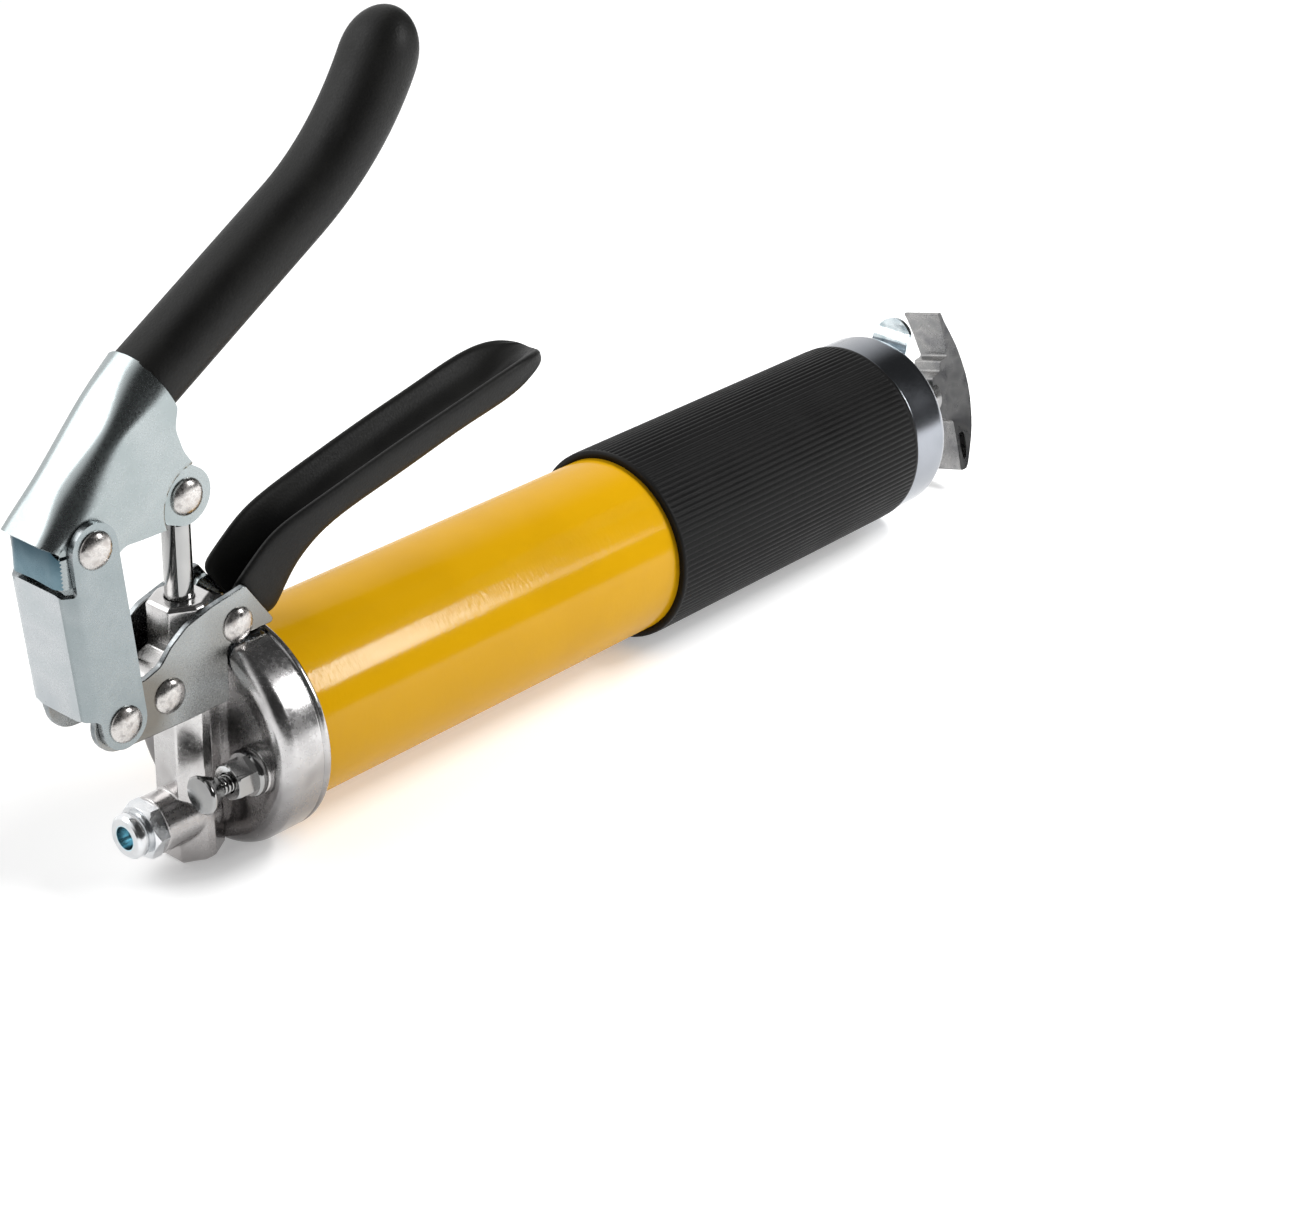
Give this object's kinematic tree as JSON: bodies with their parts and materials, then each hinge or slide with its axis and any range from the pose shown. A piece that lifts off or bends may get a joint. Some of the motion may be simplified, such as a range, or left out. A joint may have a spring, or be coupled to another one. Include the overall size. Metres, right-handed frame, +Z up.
{
  "type": "grease gun",
  "caption": "Hand lever grease gun: cast pump head with double-handle linkage, enamelled cartridge barrel with ribbed rubber sleeve, spring follower and T-handle rod.",
  "frame": {"origin": "centre of the outlet's open mouth", "axes": "+X along the barrel axis from the outlet towards the T-handle, +Z up towards the lever grip, +Y to the left of someone looking along +X"},
  "size_m": [0.408, 0.066, 0.2248],
  "materials": {
    "cast_aluminium": "bright die-cast",
    "handle_aluminium": "satin die-cast",
    "zinc_steel": "blue-white zinc plate",
    "bright_steel": "polished",
    "dark_chrome": "mirror",
    "yellow_enamel": "gloss enamel",
    "black_rubber": "matte moulded",
    "black_vinyl": "fine-grained dip"
  },
  "bodies": {
    "gun": {"head_casting": "cast_aluminium", "outlet_adaptor": "zinc_steel", "check_spring": "bright_steel", "plunger_seal": "black_rubber", "bracket_left": "zinc_steel", "bracket_right": "zinc_steel", "bracket_front_rivet": "bright_steel", "bracket_rear_rivet": "bright_steel", "link_bottom_rivet": "bright_steel", "handle_channel": "zinc_steel", "handle_vinyl": "black_vinyl", "bleeder_body": "zinc_steel", "bleeder_spring": "bright_steel", "barrel_gasket": "black_rubber", "barrel_tube": "yellow_enamel", "grip_sleeve": "black_rubber", "end_cap": "dark_chrome", "rod_guide": "zinc_steel", "latch_hinge_pin": "bright_steel", "latch_spring": "bright_steel", "follower_spring": "bright_steel"},
    "link": {"link": "zinc_steel", "link_top_rivet": "bright_steel"},
    "lever": {"lever": "zinc_steel", "lever_grip": "black_vinyl", "plunger_pin": "bright_steel"},
    "plunger": {"plunger": "bright_steel"},
    "check_ball": {"check_ball": "bright_steel"},
    "bleeder": {"bleeder_button": "bright_steel"},
    "latch": {"rod_latch": "zinc_steel"},
    "follower": {"follower_cup": "black_rubber", "follower_plate": "zinc_steel", "follower_washer": "zinc_steel", "follower_nut": "bright_steel"},
    "rod": {"follower_rod": "bright_steel", "t_handle": "handle_aluminium", "t_handle_pin": "bright_steel"}
  },
  "joints": [
    {"name": "link_swing", "type": "hinge", "parent": "gun", "child": "link", "pos_m": [-0.0071, 0, 0.0437], "axis": [0, 1, 0], "range_deg": [0, 4.6]},
    {"name": "lever_squeeze", "type": "hinge", "parent": "link", "child": "lever", "pos_m": [-0.0132, 0, 0.0966], "axis": [0, 1, 0], "range_deg": [0, 26]},
    {"name": "plunger_stroke", "type": "slide", "parent": "gun", "child": "plunger", "axis": [0, 0, -1], "range_m": [0, 0.0187]},
    {"name": "check_ball_lift", "type": "slide", "parent": "gun", "child": "check_ball", "axis": [-1, 0, 0], "range_m": [0, 0.001], "stiffness_N_per_m": 200, "springref_m": -0.0005, "deforming": ["check_spring"]},
    {"name": "bleeder_press", "type": "slide", "parent": "gun", "child": "bleeder", "axis": [1, 0, 0], "range_m": [0, 0.0025], "stiffness_N_per_m": 800, "springref_m": -0.001, "deforming": ["bleeder_spring"]},
    {"name": "rod_latch_press", "type": "hinge", "parent": "gun", "child": "latch", "pos_m": [0.3392, 0, 0.0024], "axis": [0, 1, 0], "range_deg": [-3.5, 0], "stiffness_Nm_per_rad": 0.6, "springref_deg": 3.44, "deforming": ["latch_spring"]},
    {"name": "follower_pull", "type": "slide", "parent": "gun", "child": "follower", "axis": [1, 0, 0], "range_m": [0, 0.19], "stiffness_N_per_m": 250, "springref_m": -0.08, "deforming": ["follower_spring"]},
    {"name": "rod_turn", "type": "hinge", "parent": "follower", "child": "rod", "pos_m": [0.248, 0, 0.0194], "axis": [1, 0, 0], "continuous": true}
  ],
  "couplings": [
    {"joint": "link_swing", "follows": "lever_squeeze", "ratio": 0.1738},
    {"joint": "plunger_stroke", "follows": "lever_squeeze", "m_per_rad": 0.04095}
  ]
}
